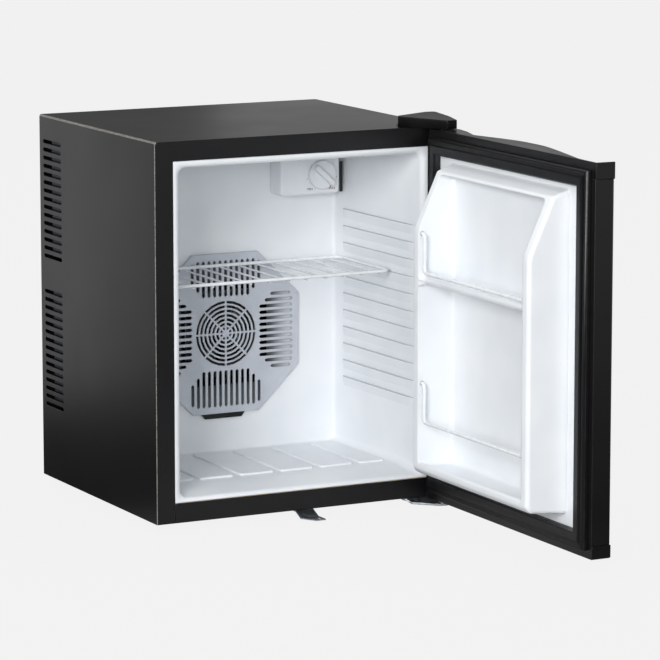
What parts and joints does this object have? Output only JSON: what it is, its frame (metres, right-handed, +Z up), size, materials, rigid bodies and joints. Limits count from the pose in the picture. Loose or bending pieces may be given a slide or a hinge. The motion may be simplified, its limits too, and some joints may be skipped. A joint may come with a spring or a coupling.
{
  "type": "thermoelectric refrigerator",
  "caption": "Small table-top refrigerator with its bowed door open, a wire shelf, a cold fan behind a ring grille, a dial thermostat and door shelves with bottle rods.",
  "frame": {"origin": "centre of the base pan's underside, midway between the cabinet's sides and between its front and rear planes", "axes": "X to the viewer's right as one faces the open cavity, Y from the front to the back, Z up"},
  "size_m": [0.4035, 0.7631, 0.4985],
  "materials": {
    "black_coated_steel": "semi-matt black powder coat",
    "black_plastic": "fine satin",
    "white_polystyrene": "satin white",
    "white_coated_wire": "white dip coat over steel wire",
    "silver_plastic": "satin silver-grey",
    "polyurethane_foam": "rigid foam with a skin",
    "zinc_plated_steel": "zinc plate",
    "aluminium": "extruded, uncoated",
    "rubber": "satin",
    "nylon": "natural",
    "ceramic": "white ceramic faces",
    "circuit_board": "green solder mask"
  },
  "bodies": {
    "cabinet": {"outer_shell": "black_coated_steel", "front_bottom_rail": "black_coated_steel", "base_pan": "zinc_plated_steel", "cavity_liner": "white_polystyrene", "cabinet_foam": "polyurethane_foam", "compartment_wall": "zinc_plated_steel", "rear_cover": "black_coated_steel", "fan_cover": "silver_plastic", "drip_outlet": "black_plastic", "cold_fan_frame": "black_plastic", "cold_heatsink": "aluminium", "cold_spacer_block": "aluminium", "peltier_module": "ceramic", "hot_heatsink": "aluminium", "hot_fan_frame": "black_plastic", "power_board": "circuit_board", "transformer": "black_plastic", "mains_inlet": "black_plastic", "thermostat_housing": "white_polystyrene", "top_hinge_plate": "zinc_plated_steel", "top_hinge_cover": "black_plastic", "bottom_hinge_plate": "zinc_plated_steel", "front_fixing_bracket": "zinc_plated_steel", "foot_front_left": "rubber", "foot_front_right": "rubber", "foot_rear_left": "rubber", "foot_rear_right": "rubber"},
    "door": {"door_outer_panel": "black_coated_steel", "door_foam": "polyurethane_foam", "door_liner": "white_polystyrene", "door_gasket": "rubber", "door_top_cap": "black_plastic", "door_bottom_cap": "black_plastic", "upper_retaining_rod": "white_coated_wire", "lower_retaining_rod": "white_coated_wire", "top_hinge_bush": "nylon", "bottom_hinge_bush": "nylon"},
    "shelf": {"wire_shelf": "white_coated_wire"},
    "dial": {"thermostat_knob": "white_polystyrene"},
    "cold_fan": {"cold_fan_rotor": "black_plastic"},
    "hot_fan": {"hot_fan_rotor": "black_plastic"}
  },
  "joints": [
    {"name": "door_hinge", "type": "hinge", "parent": "cabinet", "child": "door", "pos_m": [0.185, -0.2015, 0.235], "axis": [0, 0, 1], "range_deg": [-90, 25]},
    {"name": "shelf_slide", "type": "slide", "parent": "cabinet", "child": "shelf", "axis": [0, -1, 0], "range_m": [0, 0.1]},
    {"name": "thermostat_turn", "type": "hinge", "parent": "cabinet", "child": "dial", "pos_m": [0.1262, 0.0195, 0.3906], "axis": [0, -1, 0], "range_deg": [-2, 268]},
    {"name": "cold_fan_spin", "type": "hinge", "parent": "cabinet", "child": "cold_fan", "pos_m": [0, 0.0525, 0.1893], "axis": [0, 1, 0], "continuous": true},
    {"name": "hot_fan_spin", "type": "hinge", "parent": "cabinet", "child": "hot_fan", "pos_m": [0, 0.1505, 0.1893], "axis": [0, 1, 0], "continuous": true}
  ]
}
